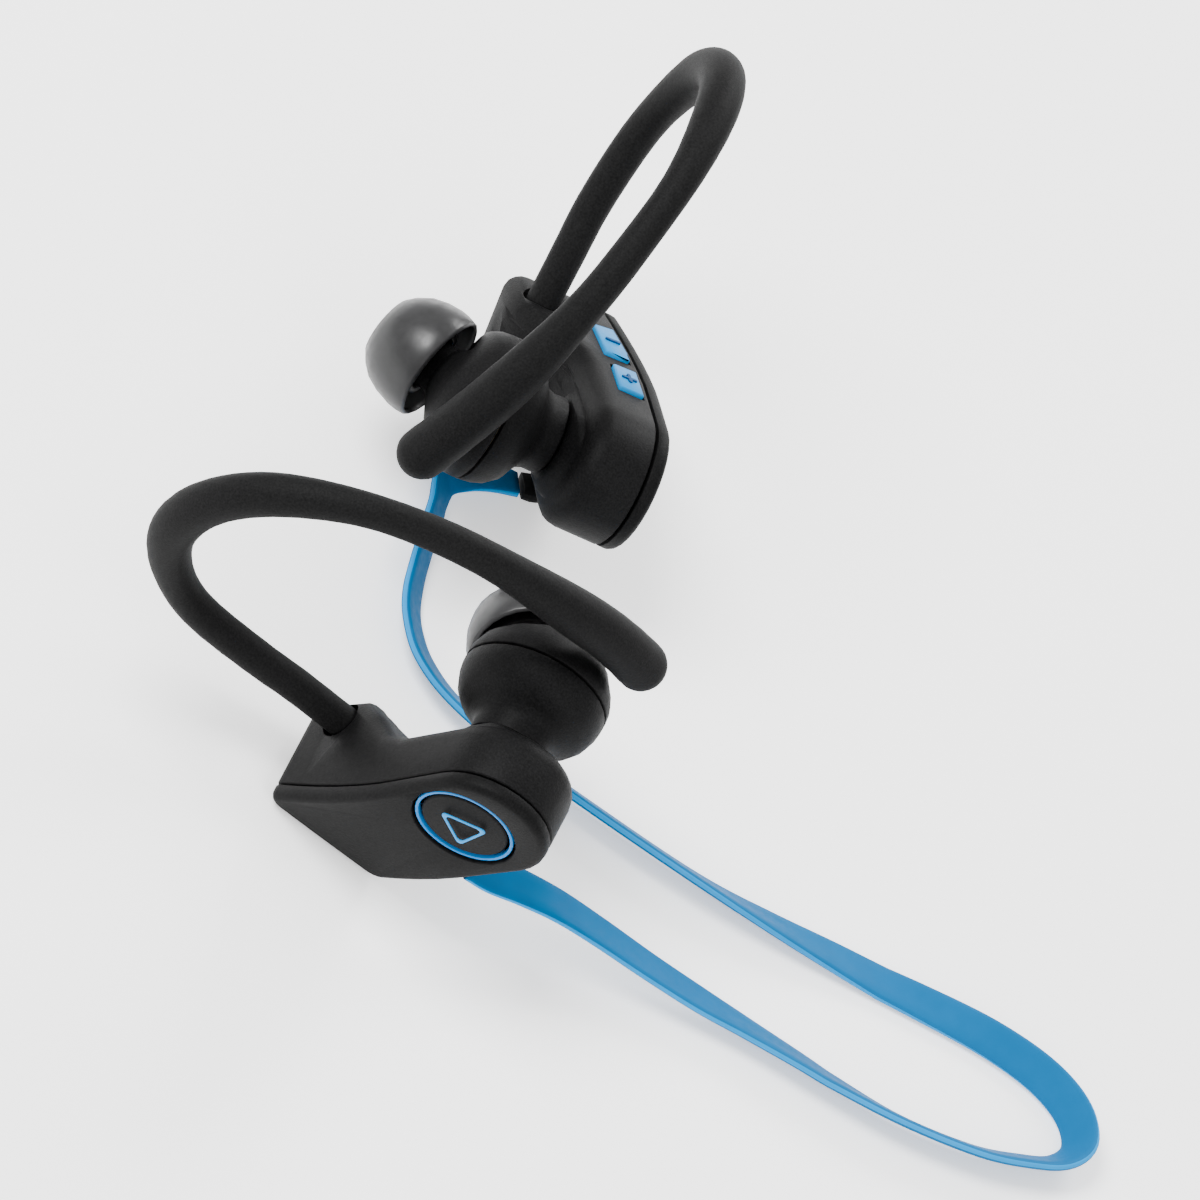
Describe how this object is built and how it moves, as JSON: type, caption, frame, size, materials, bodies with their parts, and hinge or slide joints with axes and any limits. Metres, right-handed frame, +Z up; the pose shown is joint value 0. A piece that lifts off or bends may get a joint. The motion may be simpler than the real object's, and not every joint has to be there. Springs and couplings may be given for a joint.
{
  "type": "ear-hook sport earphones with cord",
  "caption": "Pair of ear-hook sport earphones: flat housings with rubber hooks, round driver pods, silicone tips and side keys, joined by a flat flexible cord.",
  "frame": {"origin": "bottom centre of the two earphones' box on the surface they stand on, the cord left out", "axes": "+Z up from the surface; +Y along the longest extent, from the left earphone towards the right one; the cord's loop lies towards +X"},
  "size_m": [0.1093, 0.0834, 0.0484],
  "materials": {
    "shell_black": "satin",
    "cover_black": "satin",
    "rubber_black": "matte",
    "silicone_grey": "satin",
    "cord_blue": "satin",
    "ring_blue": "gloss",
    "sign_blue": "satin",
    "key_blue": "satin",
    "metal": "satin",
    "board_green": "satin",
    "cell_foil": "satin",
    "membrane": "satin"
  },
  "bodies": {
    "earphones": {"cord": "cord_blue", "left_battery": "cell_foil", "left_button_ring": "ring_blue", "left_button_switch": "metal", "left_charge_port": "metal", "left_circuit_board": "board_green", "left_cord_boot": "rubber_black", "left_diaphragm": "membrane", "left_driver_magnet": "metal", "left_driver_pod": "shell_black", "left_ear_hook": "rubber_black", "left_hook_wire": "metal", "left_inner_shell": "shell_black", "left_nozzle_mesh": "metal", "left_outer_cover": "cover_black", "left_pod_cap": "shell_black", "right_badge_disc": "cover_black", "right_badge_ring": "ring_blue", "right_badge_sign": "sign_blue", "right_battery": "cell_foil", "right_circuit_board": "board_green", "right_cord_boot": "rubber_black", "right_diaphragm": "membrane", "right_driver_magnet": "metal", "right_driver_pod": "shell_black", "right_ear_hook": "rubber_black", "right_hook_wire": "metal", "right_inner_shell": "shell_black", "right_microphone": "metal", "right_nozzle_mesh": "metal", "right_outer_cover": "cover_black", "right_pod_cap": "shell_black", "right_volume_down_switch": "metal", "right_volume_up_switch": "metal"},
    "left_button": {"left_button_cap": "cover_black", "left_button_sign": "sign_blue"},
    "left_flap": {"left_port_flap": "rubber_black"},
    "left_tip": {"left_ear_tip": "silicone_grey"},
    "right_tip": {"right_ear_tip": "silicone_grey"},
    "right_volume_down": {"right_volume_down_button": "key_blue"},
    "right_volume_up": {"right_volume_up_button": "key_blue"}
  },
  "joints": [
    {"name": "left_button_press", "type": "slide", "parent": "earphones", "child": "left_button", "axis": [-0.2024, 0.9614, 0.1865], "range_m": [0, 0.0004], "stiffness_N_per_m": 2000, "springref_m": -0.0003},
    {"name": "left_flap_hinge", "type": "hinge", "parent": "earphones", "child": "left_flap", "pos_m": [0.0228, -0.03282, 0.01906], "axis": [0.2024, -0.9614, -0.1865], "range_deg": [0, 95]},
    {"name": "left_tip_pull", "type": "slide", "parent": "earphones", "child": "left_tip", "axis": [-0.4784, 0.816, -0.3245], "range_m": [0, 0.006]},
    {"name": "right_tip_pull", "type": "slide", "parent": "earphones", "child": "right_tip", "axis": [-0.9686, 0.1435, -0.2032], "range_m": [0, 0.006]},
    {"name": "right_volume_down_press", "type": "slide", "parent": "earphones", "child": "right_volume_down", "axis": [0.175, -0.4397, -0.8809], "range_m": [0, 0.00035], "stiffness_N_per_m": 2000, "springref_m": -0.0003},
    {"name": "right_volume_up_press", "type": "slide", "parent": "earphones", "child": "right_volume_up", "axis": [0.175, -0.4397, -0.8809], "range_m": [0, 0.00035], "stiffness_N_per_m": 2000, "springref_m": -0.0003}
  ]
}
